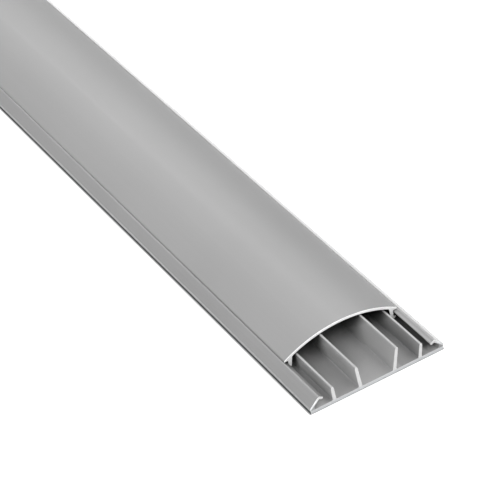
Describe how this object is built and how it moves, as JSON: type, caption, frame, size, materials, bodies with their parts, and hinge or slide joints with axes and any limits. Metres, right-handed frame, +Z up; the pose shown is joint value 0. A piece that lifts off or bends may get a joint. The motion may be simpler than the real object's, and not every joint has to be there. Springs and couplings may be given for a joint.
{
  "type": "floor cable raceway",
  "caption": "Long, low floor raceway: a flat base strip with leaning divider walls makes side-by-side cable channels under a domed clip-on cover, set back at one end.",
  "frame": {"origin": "middle of the underside: centre of the width and of the length, on the floor", "axes": "+Y along the strip, with the set-back end of the cover at -Y; +X across the strip; +Z up from the floor"},
  "size_m": [0.075, 2, 0.0176],
  "materials": {
    "base_plastic": "satin extruded grey rigid vinyl",
    "cover_plastic": "satin extruded grey rigid vinyl"
  },
  "bodies": {
    "root": {"base": "base_plastic", "cover": "cover_plastic"}
  },
  "joints": []
}
